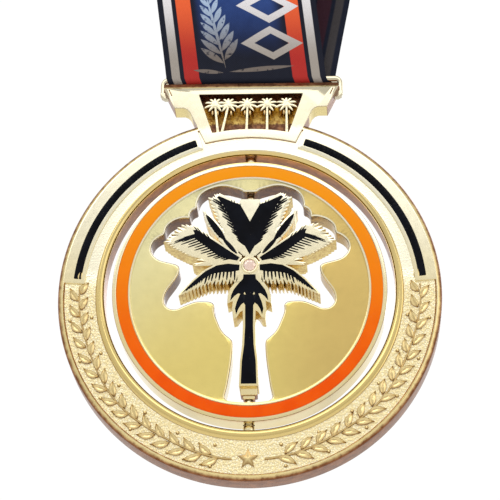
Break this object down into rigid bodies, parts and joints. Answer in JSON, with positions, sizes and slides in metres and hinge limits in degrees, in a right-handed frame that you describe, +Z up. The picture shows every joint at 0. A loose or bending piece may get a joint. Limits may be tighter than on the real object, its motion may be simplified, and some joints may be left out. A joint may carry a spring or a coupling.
{
  "type": "sports finisher medal",
  "caption": "Gold-plated ring medal on a striped satin neck ribbon, with a spinning disc in the ring and a palm tree that spins inside the disc.",
  "frame": {"origin": "inside top of the ribbon's hanging fold, where a hook carries the folded ribbon", "axes": "+Z up, +Y away from the viewer so that the medal's front faces -Y, +X to the viewer's right"},
  "size_m": [0.0888, 0.0154, 0.2132],
  "materials": {
    "gold_plate": "polished, with sandblasted fields",
    "plated_pin": "polished",
    "black_enamel": "gloss enamel",
    "orange_enamel": "gloss enamel",
    "crown_stone": "clear faceted stone",
    "satin_ribbon": "printed satin",
    "sewing_thread": "twisted thread",
    "elastic_band": "woven elastic"
  },
  "bodies": {
    "ribbon": {"neck_ribbon": "satin_ribbon", "seam_stitching": "sewing_thread", "ribbon_tie": "elastic_band"},
    "medal": {"medal_frame": "gold_plate", "arc_enamel_right": "black_enamel", "arc_enamel_left": "black_enamel", "disc_pin_top": "plated_pin", "disc_pin_bottom": "plated_pin"},
    "disc": {"spinner_disc": "gold_plate", "orange_ring_front": "orange_enamel", "orange_ring_back": "orange_enamel", "palm_pin_top": "plated_pin", "palm_pin_bottom": "plated_pin"},
    "palm": {"palm_spinner": "gold_plate", "palm_enamel_heart_front": "black_enamel", "palm_enamel_between_right_front": "black_enamel", "palm_enamel_between_left_front": "black_enamel", "palm_enamel_side_right_front": "black_enamel", "palm_enamel_side_left_front": "black_enamel", "palm_enamel_low_right_front": "black_enamel", "palm_enamel_low_left_front": "black_enamel", "palm_enamel_trunk_front": "black_enamel", "palm_enamel_heart_back": "black_enamel", "palm_enamel_between_right_back": "black_enamel", "palm_enamel_between_left_back": "black_enamel", "palm_enamel_side_right_back": "black_enamel", "palm_enamel_side_left_back": "black_enamel", "palm_enamel_low_right_back": "black_enamel", "palm_enamel_low_left_back": "black_enamel", "palm_enamel_trunk_back": "black_enamel", "crown_stone_front": "crown_stone", "crown_stone_back": "crown_stone"}
  },
  "joints": [
    {"name": "medal_swing", "type": "hinge", "parent": "ribbon", "child": "medal", "pos_m": [0, 0, -0.11195], "axis": [1, 0, 0], "range_deg": [-80, 80]},
    {"name": "disc_spin", "type": "hinge", "parent": "medal", "child": "disc", "pos_m": [0, 0, -0.16805], "axis": [0, 0, 1], "continuous": true},
    {"name": "palm_spin", "type": "hinge", "parent": "disc", "child": "palm", "pos_m": [0, 0, -0.16805], "axis": [0, 0, 1], "continuous": true}
  ]
}
